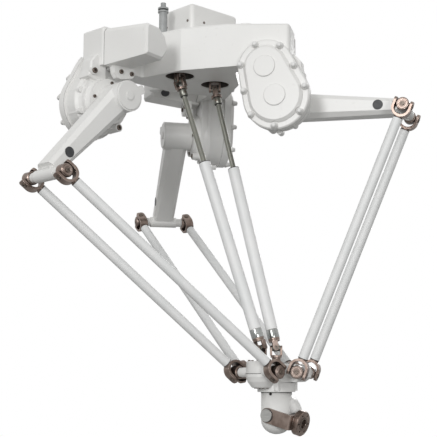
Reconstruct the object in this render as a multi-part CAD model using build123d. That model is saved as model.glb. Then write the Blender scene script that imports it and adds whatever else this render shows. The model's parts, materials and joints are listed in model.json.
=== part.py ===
from build123d import *
from math import asin, atan2, cos, degrees, hypot, radians, sin, sqrt
import os

# Ceiling-hung parallel robot with three arms, a two-axis wrist and two telescopic drive shafts.
# Millimetres and degrees, Z up. Everything is drawn with z = 0 in the plane of the three arm axes
# and written with z = 0 at the faces of the ceiling pads.

# Where each of the three units points, seen from above
UNIT_AZ = {"a": 210.0, "b": 330.0, "c": 90.0}

# Linkage
PIVOT_R = 325.0          # centre line to an arm axis
ARM_LEN = 390.0          # arm axis to elbow crossbar
ROD_LEN = 900.0          # joint to joint of a rod
LOWER_R = 90.0           # platform centre to its crossbars
ROD_SPACING = 178.0      # between the two rods of a unit
ARM_DROP = {"a": 46.5, "b": 5.0, "c": 46.5}   # how far each arm hangs below level

# Base casting
BASE_LOW = 116.0
BASE_HIGH = 262.0
WING_END_Z = 243.0
SLOPE_START = 152.0
RIM_BEVEL = 6.0
BRACKET_FACE = -18.0
BRACKET_DEPTH = 22.0
BRACKET_SCREW_X = (PIVOT_R - 62.0, PIVOT_R - 19.0)
BOX_LENGTH = 215.0
BOX_WIDTH = 150.0
BOX_HEIGHT = 116.0
FLANK_Y = 152.0          # flank that carries the gearbox
WING_END_R = PIVOT_R + 41.0
SKEW = 12.0              # turn of the motor covers and inner faces from the arm axes
FACE_O = 145.0
SEAM_M = -115.0
PAD_R = PIVOT_R - 120.0
PAD_H = 6.0
MOUNT_HOLE_R = 8.5

# Gearbox under each wing
GEAR_R = 100.0
MOTOR_GEAR_R = 83.0
MOTOR_GEAR_X = -33.0
MOTOR_GEAR_Z = 96.0
RIM = 8.0                # how far the cover's rim stands out beyond the housing
RIM_DEPTH = 30.0
DOME_H = 12.0
PLUG_H = 4.0
PLUG_R = 35.0
HUB_FLANGE_R = 74.0
STOP_X = PIVOT_R - 39.0  # boss on the housing that carries the stop screw
STOP_Z = -80.0
STOP_R = 13.0
CAP_SCREW_R = 8.0
CAP_SCREW_H = 10.0
BOSS_R = 12.0
BOSS_H = 10.0
SCREW_INSET = -2.0       # from the housing's outline to the cover's screws

# Motor cover
COVER_IN = PIVOT_R - 96.0
COVER_OUT = PIVOT_R + 17.0
COVER_LOW = 112.0
COVER_HIGH = 236.0
COVER_END_M = 58.0
COVER_DRAFT = 11.0

# Arm
ARM_W = 78.0
HUB_R = 50.0
HUB_HALF = 49.7
BAR_R = 15.5
JOURNAL_R = 9.0
ARM_PLUG_R = 16.5
CAP_TAB = {"a": 197.0, "b": 197.0, "c": 77.0}   # way the hub cap's tab points, from the arm's line

# Cross blocks, forks and rods
BLOCK_R = 21.0
BLOCK_HALF = 17.0
FORK_IN = 22.5
FORK_WALL = 8.5
FORK_HALF_W = 15.0
FORK_TIP = 17.0
PIN_R = 7.0
ROD_R = 15.5
ROD_BORE_R = 11.0
PLAY = 0.3               # ordinary clearance between parts that move
OPEN_PLAY = 4.5          # play in the pivots where the linkage is opened
OPEN_GAP = 1.3

# Drive shafts
DRIVE_TOP = {1: (-66.0, -59.0), 2: (72.0, 16.0)}
DRIVE_TOP_Z = 98.0
DRIVE_YOKE_AZ = {1: 38.0, 2: 346.0}
DRIVE_LOW_R = 70.0
DRIVE_LOW_Z = 77.0
RECESS_R = 48.0
RECESS_H = 34.0
YOKE_IN = 13.0
YOKE_WALL = 7.0
YOKE_W = 9.0
CROSS_R = 5.5
SHAFT_R = 9.0
TUBE_R = 19.5
TUBE_BORE_R = 13.5
TUBE_START = 292.0
SHAFT_END = 520.0

# Platform and wrist
POD_R = 48.0
POD_OUT = 68.0
PLATFORM_HIGH = 35.0
HUB_HIGH = 31.0
PLATFORM_LOW = -49.0
COLLAR_R = 61.0
COLLAR_LOW = -62.0
NECK_R = 49.0
TILT_Z = -135.0
TILT_R = 60.0
TILT_AZ = 222.0          # way the tilt shaft's near end points
TILT_REST = 15.0         # tool flange below level at rest
ARM_IN = 50.5
ARM_T = 8.0
BRACKET_HALF_W = 23.5
TILT_CAP_R = 20.0
FLANGE_NEAR = 80.0
FLANGE_FAR = 103.0
FLANGE_R = 40.0
TOOL_BORE_R = 15.0
TOOL_PCD = 56.0
TOOL_HOLE_R = 3.3

os.makedirs("parts", exist_ok=True)


def save(shape, name):
    export_step(Pos(0, 0, -BASE_HIGH - PAD_H) * shape, "parts/" + name + ".step")


def along(azimuth):
    return Vector(cos(radians(azimuth)), sin(radians(azimuth)), 0)


def turned(shape, azimuth):
    """Places a shape drawn with +X outward and +Y towards the motor side in its unit."""
    return Rot(0, 0, azimuth) * shape


def rod_cylinder(radius, start, end):
    """A cylinder on the local Z axis from start to end."""
    return Pos(0, 0, (start + end) / 2) * Cylinder(radius, abs(end - start))


def cross_cylinder(radius, start, end, x=0.0, z=0.0):
    """A cylinder along the local Y axis."""
    return Pos(x, (start + end) / 2, z) * Rot(90, 0, 0) * Cylinder(radius, abs(end - start))


def side_profile(points, start, end):
    """A profile of (x, z) points, drawn out along Y from start to end."""
    wire = Polyline(*[(x, 0, z) for x, z in points], close=True)
    solid = extrude(make_face(wire), amount=end - start, dir=(0, 1, 0))
    return Pos(0, start, 0) * solid


def oval(grow, start, end):
    """The gearbox outline: a large circle on the arm axis hulled with a smaller one on the motor axis."""
    corners = [oval_spot(low, tangent_angle(side), grow)
               for side, low in ((1, True), (1, False), (-1, False), (-1, True))]
    band = side_profile(corners, start, end)
    band += cross_cylinder(GEAR_R + grow, start, end, PIVOT_R, 0)
    return band + cross_cylinder(MOTOR_GEAR_R + grow, start, end, PIVOT_R + MOTOR_GEAR_X, MOTOR_GEAR_Z)


def tangent_angle(side):
    """Where the straight sides of the oval leave its circles, in degrees. side 1 is the outer one."""
    lean = degrees(atan2(MOTOR_GEAR_Z, MOTOR_GEAR_X))
    fan = degrees(asin((GEAR_R - MOTOR_GEAR_R) / hypot(MOTOR_GEAR_X, MOTOR_GEAR_Z)))
    return lean - side * (90 - fan)


def oval_spot(on_low, angle, grow):
    """A point of the grown oval on its low circle or on its high one."""
    if on_low:
        return polar(PIVOT_R, 0, GEAR_R + grow, angle)
    return polar(PIVOT_R + MOTOR_GEAR_X, MOTOR_GEAR_Z, MOTOR_GEAR_R + grow, angle)


def polar(x, z, radius, angle):
    return x + radius * cos(radians(angle)), z + radius * sin(radians(angle))


# Linkage geometry at rest

def elbow_point(unit, side):
    out = along(UNIT_AZ[unit])
    across = along(UNIT_AZ[unit] + 90)
    drop = radians(ARM_DROP[unit])
    centre = out * (PIVOT_R + ARM_LEN * cos(drop)) - Vector(0, 0, ARM_LEN * sin(drop))
    return centre + across * (side * ROD_SPACING / 2)


def platform_point():
    """Where the rods of the drooping arms and of the level arm meet, in the level arm's plane."""
    out_b = along(UNIT_AZ["b"])
    out_a = along(UNIT_AZ["a"])
    first = elbow_point("b", 0) - out_b * LOWER_R
    second = elbow_point("a", 0) - out_a * LOWER_R
    s1 = first.dot(out_b)
    s2 = second.dot(out_b)
    off2 = second.dot(along(UNIT_AZ["b"] + 90))
    # both distances equal the rod length: the difference of the two circles is a straight line
    a = 2 * (s2 - s1)
    b = 2 * (second.Z - first.Z)
    c = s2 * s2 + second.Z ** 2 + off2 * off2 - s1 * s1 - first.Z ** 2
    # s = (c - b z) / a goes into (s - s1)^2 + (z - z1)^2 = L^2
    k = b / a
    m = c / a - s1
    qa = k * k + 1
    qb = -2 * (m * k + first.Z)
    qc = m * m + first.Z ** 2 - ROD_LEN ** 2
    z = (-qb - sqrt(qb * qb - 4 * qa * qc)) / (2 * qa)
    return out_b * ((c - b * z) / a) + Vector(0, 0, z)


PLATFORM = platform_point()


def lower_point(unit, side):
    return PLATFORM + along(UNIT_AZ[unit]) * LOWER_R + along(UNIT_AZ[unit] + 90) * (side * ROD_SPACING / 2)


def rod_axes(unit, side):
    """Rod direction, and the fork pin's axis, square to the rod and to the crossbar."""
    line = (lower_point(unit, side) - elbow_point(unit, side)).normalized()
    pin = line.cross(along(UNIT_AZ[unit] + 90)).normalized()
    return line, pin


# Base casting

def seam_line():
    """Both ends of the seam between a wing and its motor cover, in the unit's plan."""
    turn = radians(SKEW)
    ends = [(o * cos(turn) - SEAM_M * sin(turn), o * sin(turn) + SEAM_M * cos(turn))
            for o in (FACE_O, COVER_OUT)]
    return ends[0], ends[1]


def base_outline():
    """A pinwheel of three wings round a three-sided body."""
    turn = radians(SKEW)
    seam_root, seam_tip = seam_line()
    # the face meets the flank of the next wing
    out_x = cos(radians(30))
    out_y = sin(radians(30))
    reach = FLANK_Y - FACE_O * (cos(turn) * out_x + sin(turn) * out_y)
    corner_m = reach / (cos(turn) * out_y - sin(turn) * out_x)
    corner = (FACE_O * cos(turn) - corner_m * sin(turn), FACE_O * sin(turn) + corner_m * cos(turn))
    points = []
    for unit in ("a", "c", "b"):
        azimuth = UNIT_AZ[unit]
        for x, y in (corner, seam_root, seam_tip, (WING_END_R, -FLANK_Y)):
            spot = along(azimuth) * x + along(azimuth + 90) * y
            points.append((spot.X, spot.Y))
    return points


def base_casting():
    face = make_face(Polyline(*base_outline(), close=True))
    face = fillet(face.vertices(), 12)
    body = Pos(0, 0, BASE_LOW) * extrude(face, amount=BASE_HIGH - BASE_LOW)
    body = chamfer(body.faces().sort_by(Axis.Z)[-1].edges(), RIM_BEVEL)
    fall = (BASE_HIGH - WING_END_Z) / (WING_END_R - SLOPE_START)
    slope = side_profile(((SLOPE_START, BASE_HIGH), (WING_END_R + 20, WING_END_Z - 20 * fall),
                          (WING_END_R + 20, BASE_HIGH + 9), (SLOPE_START, BASE_HIGH + 9)), -FLANK_Y - 20, -20)
    flank_start = Vector(SLOPE_START, -FLANK_Y, BASE_HIGH)
    flank_end = Vector(WING_END_R + 20, -FLANK_Y, WING_END_Z - 20 * fall)
    root, tip = seam_line()
    seam_start = Vector(root[0], root[1], BASE_HIGH - fall * (root[0] - SLOPE_START))
    seam_end = Vector(tip[0], tip[1], BASE_HIGH - fall * (tip[0] - SLOPE_START))
    end_low = Vector(WING_END_R, -FLANK_Y, WING_END_Z)
    slope += bevel(flank_start, flank_end, Vector(0, -1, 0))
    slope += bevel(seam_start, seam_end, Vector(-sin(radians(SKEW)), cos(radians(SKEW)), 0))
    slope += bevel(seam_end, end_low, Vector(1, 0, 0))
    for azimuth in UNIT_AZ.values():
        body -= turned(slope, azimuth)
    for azimuth in UNIT_AZ.values():
        body += turned(gear_housing(), azimuth)
        pad = Pos(PAD_R, -95, 0) * rod_cylinder(26, BASE_HIGH - 20, BASE_HIGH + PAD_H)
        body += turned(pad, azimuth)
        hole = Pos(PAD_R, -95, 0) * rod_cylinder(MOUNT_HOLE_R, BASE_HIGH - 34, BASE_HIGH + PAD_H)
        body -= turned(hole, azimuth)
    for x, y in DRIVE_TOP.values():
        body -= Pos(x, y, 0) * rod_cylinder(RECESS_R, BASE_LOW - 1, BASE_LOW + RECESS_H)
    boss = Pos(-120, 120, 0) * rod_cylinder(17, BASE_LOW - 6, BASE_LOW + 2)
    return body + boss


def bevel(start, end, side):
    """A cutter that bevels a rim edge between the top and the given side."""
    line = (end - start).normalized()
    lean = (side + Vector(0, 0, 1) - line * (side + Vector(0, 0, 1)).dot(line)).normalized()
    centre = (start + end) / 2 - lean * (RIM_BEVEL * 0.7)
    return Plane(centre, x_dir=line, z_dir=lean) * Pos(0, 0, 10) * Box((end - start).length, 40, 20)


def gear_housing():
    """Drum behind the gearbox cover, drawn in to the flange that the arm turns on."""
    drum = oval(0, -FLANK_Y, -96)
    body = chamfer([e for e in drum.edges() if abs(e.center().Y + 96) < 0.1], 9)
    body += oval(-14, -100, -74)
    neck = Pos(PIVOT_R, -78, 0) * Rot(90, 0, 0) * Cone(HUB_FLANGE_R, GEAR_R - 9, 36)
    body += neck
    body += cross_cylinder(HUB_FLANGE_R, -64, -HUB_HALF - PLAY, PIVOT_R, 0)
    body += cross_cylinder(10, -FLANK_Y + 4, -118, PIVOT_R + 4, -GEAR_R - 8)
    blister_points = ((5, 60), (78, 74), (70, 99), (67, 128), (47, 150), (5, 150))
    blister = side_profile([(PIVOT_R + x, z) for x, z in blister_points], -112, -62)
    body += chamfer(blister.faces().sort_by(Axis.Y)[-1].edges(), 5)
    body += cross_cylinder(13, -70, -54, PIVOT_R + 60, 92)
    body += cross_cylinder(STOP_R, -100, -HUB_HALF - PLAY, STOP_X, STOP_Z)
    for angle in (20, -24, -62):
        x, z = polar(PIVOT_R, 0, GEAR_R - 9, angle)
        body += cross_cylinder(10, -FLANK_Y + 4, -88, x, z)
    return body


def gearbox_cover():
    """Oval cover with a pillowed face, a boss under each screw and two round plugs."""
    front = -FLANK_Y - RIM_DEPTH
    body = oval(RIM, front, -FLANK_Y)
    body = chamfer([e for e in body.edges() if abs(e.center().Y - front) < 0.1], 4)
    dome = oval(-12, front - DOME_H, front + 0.5)
    dome = chamfer([e for e in dome.edges() if abs(e.center().Y - front + DOME_H) < 0.1], DOME_H - 3)
    for x, z in cover_screw_spots():
        dome -= cross_cylinder(BOSS_R + 3, front - DOME_H - 5, front, x, z)
    body += dome
    for x, z in cover_screw_spots():
        boss = Pos(x, front - BOSS_H / 2, z) * Rot(90, 0, 0) * Cone(BOSS_R, CAP_SCREW_R + 1, BOSS_H)
        body += boss
    plug_end = front - DOME_H - PLUG_H
    for x, z in ((PIVOT_R, 0), (PIVOT_R + MOTOR_GEAR_X, MOTOR_GEAR_Z)):
        plug = cross_cylinder(PLUG_R, plug_end, front, x, z)
        body += chamfer([e for e in plug.edges() if abs(e.center().Y - plug_end) < 0.1], 1.5)
    return body


def cover_screw_spots():
    """Screws round the rim: on both circles and on the straight sides between them."""
    spots = [oval_spot(True, angle, SCREW_INSET) for angle in (13, -36, -92, -144)]
    spots += [oval_spot(False, angle, SCREW_INSET) for angle in (53, 113, 172)]
    for side, share in ((1, 0.52), (-1, 0.38)):
        low = oval_spot(True, tangent_angle(side), SCREW_INSET)
        high = oval_spot(False, tangent_angle(side), SCREW_INSET)
        spots.append((low[0] + share * (high[0] - low[0]), low[1] + share * (high[1] - low[1])))
    return spots


def cap_screw():
    """A domed cap screw along Y, with its seat at y = 0."""
    body = cross_cylinder(CAP_SCREW_R, -CAP_SCREW_H, 0)
    return fillet([e for e in body.edges() if abs(e.center().Y + CAP_SCREW_H) < 0.1], CAP_SCREW_R - 2.5)


def motor_cover():
    """A drafted box with its inner corners cut back, along the motor's skewed axis."""
    def ring(y, low, high, out):
        points = ((out, low), (out, high - 14), (out - 10, high), (COVER_IN + 42, high),
                  (COVER_IN + 14, high - 20), (COVER_IN, high - 52), (COVER_IN, low + 34), (COVER_IN + 28, low))
        wire = Polyline(*[(x, y, z) for x, z in points], close=True)
        return make_face(wire)
    near = ring(SEAM_M + PLAY, COVER_LOW, COVER_HIGH, COVER_OUT)
    far = ring(COVER_END_M, COVER_LOW + COVER_DRAFT, COVER_HIGH - COVER_DRAFT, COVER_OUT - 3)
    body = loft([near, far])
    end_edges = [e for e in body.edges()
                 if abs((e @ 0).Y - COVER_END_M) < 0.1 and abs((e @ 1).Y - COVER_END_M) < 0.1]
    body = chamfer(end_edges, 7)
    screw_y = SEAM_M + 26
    body -= Pos(COVER_OUT - 26, screw_y, 0) * rod_cylinder(9, COVER_HIGH - 12, COVER_HIGH + 6)
    return Rot(0, 0, SKEW) * body


def socket_screw(radius, height):
    """A round-headed screw on the local Z axis with its seat at z = 0."""
    body = rod_cylinder(radius, 0, height)
    body = chamfer(body.edges().sort_by(Axis.Z)[-1], 1)
    return body - rod_cylinder(radius * 0.5, height - 2, height + 1)


def stop_bracket():
    """A rounded block that hangs over the arm's hub, on a foot under the wing and the motor cover."""
    points = ((-75, 0), (-75, -23), (-69, -32), (-48, -39), (-19, -45), (-5, -42), (6, -28), (13, 0))
    outline = [(PIVOT_R + x, BASE_LOW + z) for x, z in points]
    block = side_profile(outline, BRACKET_FACE - BRACKET_DEPTH, BRACKET_FACE)
    foot = Pos(PIVOT_R - 32, -44, BASE_LOW - 4) * Box(64, 52, 8)
    return (block + foot) - motor_cover()


def stop_screws():
    body = []
    for azimuth in UNIT_AZ.values():
        spot = Rot(0, 0, azimuth) * Pos(STOP_X, -HUB_HALF - PLAY, STOP_Z) * Rot(-90, 0, 0)
        body.append(spot * socket_screw(9, 3))
    return Compound(children=body)


def base_screws():
    """Per unit: the motor cover's screw, the bracket's two screws and the round plug."""
    body = []
    for azimuth in UNIT_AZ.values():
        spot = Rot(0, 0, azimuth + SKEW) * Pos(COVER_OUT - 26, SEAM_M + 26, COVER_HIGH - 12)
        body.append(spot * socket_screw(7, 6))
        for x in BRACKET_SCREW_X:
            spot = Rot(0, 0, azimuth) * Pos(x, BRACKET_FACE, BASE_LOW - 20) * Rot(-90, 0, 0)
            body.append(spot * socket_screw(7.5, 5))
        plug = Rot(0, 0, azimuth) * Pos(PIVOT_R + 60, -54, 92) * Rot(-90, 0, 0)
        body.append(plug * socket_screw(9, 6))
    return Compound(children=body)


def top_box():
    """Connection box on top of the casting, with rounded corners and roof edges."""
    box = Pos(0, 0, BASE_HIGH + BOX_HEIGHT / 2) * Box(BOX_LENGTH, BOX_WIDTH, BOX_HEIGHT)
    box = fillet(box.edges().filter_by(Axis.Z), 14)
    box = fillet(box.faces().sort_by(Axis.Z)[-1].edges(), 12)
    return Pos(30, 60, 0) * Rot(0, 0, 30) * box


def connector():
    """Cable gland of stacked rings: radius and height of each."""
    body = None
    level = BASE_HIGH
    for radius, height in ((14, 83), (18, 6), (13, 5), (18, 6), (9, 17)):
        ring = rod_cylinder(radius, level, level + height)
        body = ring if body is None else body + ring
        level += height
    return Pos(-117, -22, 0) * body


def drive_yoke(length, radius):
    """Yoke with its pin along X at the origin and its shaft towards +Z."""
    outer = YOKE_IN + YOKE_WALL
    body = Pos(0, 0, 22 + 4) * Cylinder(outer - 2, 8)
    for side in (-1, 1):
        prong = Pos(side * (YOKE_IN + YOKE_WALL / 2), 0, 11.5) * Box(YOKE_WALL, 2 * YOKE_W, 23)
        eye = Pos(side * (YOKE_IN + YOKE_WALL / 2), 0, 0) * Rot(0, 90, 0) * Cylinder(YOKE_W, YOKE_WALL)
        body += prong + eye
    body &= rod_cylinder(outer + 1.5, -YOKE_W, 30)
    body += rod_cylinder(radius, 28, length)
    return body - Rot(0, 90, 0) * Cylinder(CROSS_R + PLAY, 2 * outer + 10)


def drive_cross():
    """Cross with one pin along X and the other along Y."""
    reach = 2 * (YOKE_IN + YOKE_WALL) - 1
    body = Rot(0, 90, 0) * Cylinder(CROSS_R, reach) + Rot(90, 0, 0) * Cylinder(CROSS_R, reach)
    core = Rot(0, 90, 0) * Cylinder(9, 2 * YOKE_IN - 1) + Rot(90, 0, 0) * Cylinder(9, 2 * YOKE_IN - 1)
    return body + core


def drive_low(index):
    if index == 1:
        return PLATFORM + along(UNIT_AZ["a"]) * DRIVE_LOW_R + Vector(0, 0, DRIVE_LOW_Z)
    return PLATFORM + Vector(0, 0, DRIVE_LOW_Z)


def drive_frames(index):
    """Frames of one drive shaft: fixed yoke pin axis, shaft direction and shaft yoke pin axis."""
    top = Vector(DRIVE_TOP[index][0], DRIVE_TOP[index][1], DRIVE_TOP_Z)
    low = drive_low(index)
    line = (low - top).normalized()
    first = along(DRIVE_YOKE_AZ[index])
    second = first.cross(line).normalized()
    return top, low, line, first, second


# Arms

def arm_body(tab_angle):
    """Arm along +X from its axis at the origin, with its crossbar at the tip and a tab on its hub's cap."""
    def section(x, low, high, bevel):
        half = ARM_W / 2
        pts = ((-half + bevel, low), (half - bevel, low), (half, low + bevel), (half, high - bevel),
               (half - bevel, high), (-half + bevel, high), (-half, high - bevel), (-half, low + bevel))
        return make_face(Polyline(*[(x, y, z) for y, z in pts], close=True))
    body = loft([section(0, -42, 49, 18), section(ARM_LEN - 14, -14, 34, 11)])
    body += cross_cylinder(HUB_R, -HUB_HALF, HUB_HALF)
    body += cross_cylinder(HUB_R - 5, HUB_HALF, HUB_HALF + 3)
    body += cross_cylinder(14, HUB_HALF, HUB_HALF + 6)
    body += cross_cylinder(BAR_R + 4, -50, 50, ARM_LEN)
    tip = Pos(ARM_LEN - 18, 0, 4) * Box(24, ARM_W - 4, 34)
    body += chamfer(tip.edges().filter_by(Axis.Z), 6)
    shoulder = ROD_SPACING / 2 - BLOCK_HALF - 0.5
    body += cross_cylinder(BAR_R, -shoulder, shoulder, ARM_LEN)
    body += cross_cylinder(JOURNAL_R, -shoulder - 24, shoulder + 24, ARM_LEN)
    tab = Rot(0, -tab_angle, 0) * Pos(HUB_R - 6, HUB_HALF - 4, 0) * Box(44, 14, 28)
    body += chamfer(tab.edges().filter_by(Axis.Y), 4)
    for side in (-1, 1):
        body -= cross_cylinder(ARM_PLUG_R, side * (ARM_W / 2 - 2), side * (ARM_W / 2 + 2), 302, 11)
    return body


def arm_plugs():
    """The dark round plugs on both sides of an arm."""
    plugs = [cross_cylinder(ARM_PLUG_R - 0.2, side * (ARM_W / 2 - 2), side * (ARM_W / 2 + 0.6), 302, 11)
             for side in (-1, 1)]
    return Compound(children=plugs)


# Cross blocks, forks and rods

def cross_block(bore, outward):
    """Block on the crossbar's end: bore along Z, trunnions along X. outward is +1 or -1 along Z."""
    body = Cylinder(BLOCK_R, 2 * BLOCK_HALF)
    body = chamfer(body.edges(), 3)
    body += Rot(0, 90, 0) * Cylinder(11, 2 * (FORK_IN - PLAY))
    body += Rot(0, 90, 0) * Cylinder(PIN_R, 2 * (FORK_IN + FORK_WALL) - 1)
    hollow = rod_cylinder(bore, -BLOCK_HALF - 1, 9)
    if outward < 0:
        hollow = Rot(180, 0, 0) * hollow
    return body - hollow


def rod_fork():
    """Stirrup fork: its pin along X at the origin, its rod towards +Z."""
    outer = FORK_IN + FORK_WALL
    drop = 12.0
    solid = Pos(0, 0, (drop - FORK_TIP) / 2) * Box(2 * outer, 2 * FORK_HALF_W, drop + FORK_TIP)
    solid += Pos(0, 0, drop) * Rot(90, 0, 0) * Cylinder(outer, 2 * FORK_HALF_W)
    gap = Pos(0, 0, (drop - FORK_TIP) / 2 - 1) * Box(2 * FORK_IN, 60, drop + FORK_TIP + 2)
    gap += Pos(0, 0, drop) * Rot(90, 0, 0) * Cylinder(FORK_IN, 60)
    body = solid - gap
    tips = [e for e in body.edges().filter_by(Axis.X) if e.center().Z < 1 - FORK_TIP]
    body = fillet(tips, 10)
    body += rod_cylinder(ROD_R - 1, outer + drop - 3, outer + drop + 3)
    body += rod_cylinder(ROD_BORE_R - 0.05, outer + drop, outer + drop + 22)
    return body - Rot(0, 90, 0) * Cylinder(PIN_R + PLAY, 2 * outer + 10)


def rod_tube():
    start = FORK_IN + FORK_WALL + 12.0 + 3.0
    return rod_cylinder(ROD_R, start, ROD_LEN - start) - rod_cylinder(ROD_BORE_R, start - 1, ROD_LEN)


# Platform and wrist

def platform_body():
    """Platform with a drive pod, three crossbars and the collar of the wrist's bearing."""
    shell = Polyline((0, 0, PLATFORM_HIGH), (POD_R - 2, 0, PLATFORM_HIGH), (POD_R, 0, PLATFORM_HIGH - 2),
                     (POD_R, 0, -4), (POD_R + 2, 0, -5), (POD_R + 2, 0, -14), (POD_R - 4, 0, -30),
                     (POD_R - 16, 0, PLATFORM_LOW + 3), (POD_R - 20, 0, PLATFORM_LOW), (0, 0, PLATFORM_LOW),
                     close=True)
    pod = Pos(POD_OUT, 0, 0) * revolve(make_face(shell), Axis.Z)
    body = turned(pod, UNIT_AZ["a"])
    hub = rod_cylinder(44, -40, HUB_HIGH)
    body += chamfer(hub.edges().group_by(Axis.Z)[-1], 3)
    body += rod_cylinder(COLLAR_R, COLLAR_LOW, COLLAR_LOW + 29)
    for angle in (256, 346, 46, 136):
        spot = along(angle) * (COLLAR_R - 4)
        body += Pos(spot.X, spot.Y, 0) * rod_cylinder(11, COLLAR_LOW + 4, COLLAR_LOW + 40)
    for unit, azimuth in UNIT_AZ.items():
        gap = 0.5 if unit == "b" else OPEN_GAP
        shoulder = ROD_SPACING / 2 - BLOCK_HALF - gap
        pin = JOURNAL_R if unit == "b" else JOURNAL_R - 3
        bar = cross_cylinder(BAR_R, -shoulder, shoulder, LOWER_R)
        bar += cross_cylinder(pin, -shoulder - 22, shoulder + 22, LOWER_R)
        if unit != "a":
            lobe = side_profile(((0, -34), (LOWER_R - 4, -30), (LOWER_R + 18, -16), (LOWER_R + 18, 14),
                                 (LOWER_R + 6, 25), (0, 25)), -42, 42)
            bar += chamfer(lobe.edges().filter_by(Axis.Z), 9)
        body += turned(bar, azimuth)
    return body


def platform_screws():
    items = []
    for angle in range(0, 360, 60):
        spot = along(UNIT_AZ["a"]) * POD_OUT + along(UNIT_AZ["a"] + angle + 30) * (POD_R - 8)
        items.append(Pos(spot.X, spot.Y, PLATFORM_HIGH) * socket_screw(4.5, 4))
    return Compound(children=items)


def wrist_body():
    """Wrist that turns about Z under the platform, drawn with its tilt shaft along X."""
    body = rod_cylinder(NECK_R, TILT_Z, COLLAR_LOW - PLAY)
    foot = Pos(0, 0, TILT_Z) * Rot(0, 90, 0) * Cylinder(TILT_R, 2 * NECK_R)
    body += foot & rod_cylinder(NECK_R, TILT_Z - TILT_R, TILT_Z + 10)
    cheek = Pos(-25, 0, TILT_Z) * Rot(0, 90, 0) * Cylinder(70, 40)
    sector = Pos(-25, 0, TILT_Z) * Rot(6, 0, 0) * Pos(0, 45, 32) * Box(40, 90, 64)
    body += cheek & sector
    body -= Pos(0, 0, TILT_Z) * Rot(0, 90, 0) * Cylinder(12 + PLAY, 300)
    return body


def tilt_bracket():
    """Bracket with an arm on each end of the tilt shaft and the tool flange towards +Y."""
    edge = ARM_IN + ARM_T
    body = cross_cylinder(FLANGE_R, FLANGE_NEAR, FLANGE_FAR)
    body = chamfer(body.edges(), 2.5)
    back = Pos(0, FLANGE_NEAR - 1, 0) * Box(2 * edge, 14, 2 * BRACKET_HALF_W)
    body += fillet(back.edges().filter_by(Axis.Z), 6)
    for side in (-1, 1):
        arm = Pos(side * (ARM_IN + ARM_T / 2), FLANGE_NEAR / 2, 0) * Box(ARM_T, FLANGE_NEAR, 2 * BRACKET_HALF_W)
        eye = Pos(side * (ARM_IN + ARM_T / 2), 0, 0) * Rot(0, 90, 0) * Cylinder(BRACKET_HALF_W, ARM_T)
        body += arm + eye
    body -= cross_cylinder(TOOL_BORE_R, FLANGE_NEAR - 20, FLANGE_FAR + 5)
    for angle in range(0, 360, 60):
        x = TOOL_PCD / 2 * cos(radians(angle))
        z = TOOL_PCD / 2 * sin(radians(angle))
        body -= cross_cylinder(TOOL_HOLE_R, FLANGE_FAR - 12, FLANGE_FAR + 5, x, z)
    return body - Rot(0, 90, 0) * Cylinder(12, 300)


def tilt_shaft():
    """Shaft through the wrist with a flat cap on each end, along X."""
    reach = ARM_IN + ARM_T
    body = Rot(0, 90, 0) * Cylinder(12, 2 * reach)
    for side in (-1, 1):
        body += Pos(side * (reach + 3), 0, 0) * Rot(0, 90, 0) * Cylinder(TILT_CAP_R, 6)
    return body


# Write the base
save(base_casting(), "base_casting")
save(top_box(), "top_box")
save(connector(), "cable_connector")
save(base_screws(), "base_screws")
save(stop_screws(), "stop_screws")
brackets = [turned(stop_bracket(), azimuth) for azimuth in UNIT_AZ.values()]
save(Compound(children=brackets), "stop_brackets")
caps = []
for unit, azimuth in UNIT_AZ.items():
    save(turned(gearbox_cover(), azimuth), "gearbox_cover_" + unit)
    save(turned(motor_cover(), azimuth), "motor_cover_" + unit)
    for x, z in cover_screw_spots():
        caps.append(turned(Pos(x, -FLANK_Y - RIM_DEPTH - BOSS_H, z) * cap_screw(), azimuth))
save(Compound(children=caps), "cap_screws")

# Write the arms, rods and blocks
for unit, azimuth in UNIT_AZ.items():
    at_axis = Rot(0, 0, azimuth) * Pos(PIVOT_R, 0, 0) * Rot(0, ARM_DROP[unit], 0)
    save(at_axis * arm_body(CAP_TAB[unit]), "arm_" + unit)
    save(at_axis * arm_plugs(), "arm_plugs_" + unit)
    for number, side in ((1, 1), (2, -1)):
        name = unit + str(number)
        line, pin = rod_axes(unit, side)
        high = elbow_point(unit, side)
        low = lower_point(unit, side)
        bar = along(azimuth + 90)
        at_high = Plane(high, x_dir=pin, z_dir=bar)
        at_low = Plane(low, x_dir=pin, z_dir=bar)
        low_bore = JOURNAL_R + PLAY if unit == "b" else JOURNAL_R - 3 + OPEN_PLAY
        upper = at_high * cross_block(JOURNAL_R + PLAY, side)
        lower = at_low * cross_block(low_bore, side)
        if unit == "b":
            save(Compound(children=[upper, lower]), "blocks_" + name)
        else:
            save(upper, "block_up_" + name)
            save(lower, "block_low_" + name)
        forks = [Plane(high, x_dir=pin, z_dir=line) * rod_fork(), Plane(low, x_dir=pin, z_dir=-line) * rod_fork()]
        save(Compound(children=forks), "forks_" + name)
        save(Plane(high, x_dir=pin, z_dir=line) * rod_tube(), "rod_" + name)

# Write the platform and wrist
at_platform = Pos(PLATFORM.X, PLATFORM.Y, PLATFORM.Z)
save(at_platform * platform_body(), "platform")
save(at_platform * platform_screws(), "platform_screws")
save(at_platform * Rot(0, 0, TILT_AZ) * wrist_body(), "wrist_body")
at_tilt = at_platform * Pos(0, 0, TILT_Z) * Rot(0, 0, TILT_AZ) * Rot(-TILT_REST, 0, 0)
save(at_tilt * tilt_bracket(), "tool_bracket")
save(at_tilt * tilt_shaft(), "tilt_shaft")

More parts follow.
